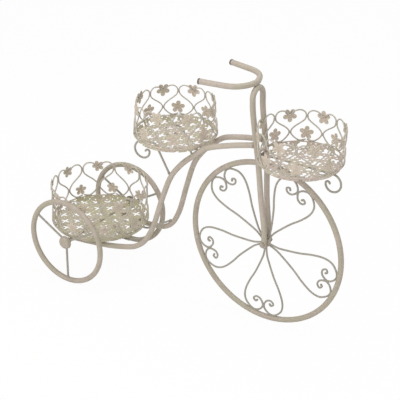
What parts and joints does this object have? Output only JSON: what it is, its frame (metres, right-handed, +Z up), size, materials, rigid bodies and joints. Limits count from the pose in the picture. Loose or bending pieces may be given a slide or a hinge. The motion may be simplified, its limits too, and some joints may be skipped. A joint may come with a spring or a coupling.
{
  "type": "bicycle planter",
  "caption": "Free-standing tricycle-shaped metal plant stand with round pierced trays, heart-scroll galleries and wheels that turn.",
  "frame": {"origin": "on the ground, below the middle of the object's length and width", "axes": "+X forwards to the big wheel, +Y to the rider's left, +Z up"},
  "size_m": [0.7958, 0.279, 0.5859],
  "materials": {
    "tube_paint": "satin cream-taupe powder coat, slightly worn",
    "wire_paint": "the same coat, greyer and thinner on the wire",
    "sheet_paint": "the same coat on pressed sheet, with rusty patches",
    "steel": "dull zinc-plated fasteners",
    "plug": "grey-brown push-in tube plugs"
  },
  "bodies": {
    "frame": {"frame_tube_right": "tube_paint", "frame_tube_left": "tube_paint", "fork": "tube_paint", "handlebar": "tube_paint", "fork_cross_rod": "wire_paint", "front_tray_bracket": "wire_paint", "middle_tray_bracket_right": "wire_paint", "middle_tray_bracket_left": "wire_paint", "rear_tray_bracket_right": "wire_paint", "rear_tray_bracket_left": "wire_paint", "front_tray": "sheet_paint", "front_tray_heart_1": "wire_paint", "front_tray_heart_2": "wire_paint", "front_tray_heart_3": "wire_paint", "front_tray_heart_4": "wire_paint", "front_tray_heart_5": "wire_paint", "front_tray_heart_6": "wire_paint", "front_tray_heart_7": "wire_paint", "front_tray_heart_8": "wire_paint", "middle_tray": "sheet_paint", "middle_tray_heart_1": "wire_paint", "middle_tray_heart_2": "wire_paint", "middle_tray_heart_3": "wire_paint", "middle_tray_heart_4": "wire_paint", "middle_tray_heart_5": "wire_paint", "middle_tray_heart_6": "wire_paint", "middle_tray_heart_7": "wire_paint", "middle_tray_heart_8": "wire_paint", "rear_tray": "sheet_paint", "rear_tray_heart_1": "wire_paint", "rear_tray_heart_2": "wire_paint", "rear_tray_heart_3": "wire_paint", "rear_tray_heart_4": "wire_paint", "rear_tray_heart_5": "wire_paint", "rear_tray_heart_6": "wire_paint", "rear_tray_heart_7": "wire_paint", "rear_tray_heart_8": "wire_paint", "rear_tray_heart_9": "wire_paint", "front_axle_bolt": "steel", "front_axle_nut_right": "steel", "front_axle_nut_left": "steel", "rear_axle": "steel", "rear_axle_nut_right": "steel", "rear_axle_nut_left": "steel", "handlebar_plug_right": "plug", "handlebar_plug_left": "plug"},
    "front_wheel": {"front_rim": "tube_paint", "front_hub": "wire_paint", "front_wheel_heart_1": "wire_paint", "front_wheel_heart_2": "wire_paint", "front_wheel_heart_3": "wire_paint", "front_wheel_heart_4": "wire_paint", "front_wheel_heart_5": "wire_paint"},
    "rear_wheel_right": {"rear_rim_right": "tube_paint", "rear_spider_right": "wire_paint", "rear_hub_cap_right": "tube_paint"},
    "rear_wheel_left": {"rear_rim_left": "tube_paint", "rear_spider_left": "wire_paint", "rear_hub_cap_left": "tube_paint"}
  },
  "joints": [
    {"name": "front_wheel_spin", "type": "hinge", "parent": "frame", "child": "front_wheel", "pos_m": [0.19795, 0, 0.2], "axis": [0, 1, 0], "continuous": true},
    {"name": "rear_wheel_right_spin", "type": "hinge", "parent": "frame", "child": "rear_wheel_right", "pos_m": [-0.28455, -0.126, 0.109], "axis": [0, 1, 0], "continuous": true},
    {"name": "rear_wheel_left_spin", "type": "hinge", "parent": "frame", "child": "rear_wheel_left", "pos_m": [-0.28455, 0.126, 0.109], "axis": [0, 1, 0], "continuous": true}
  ]
}
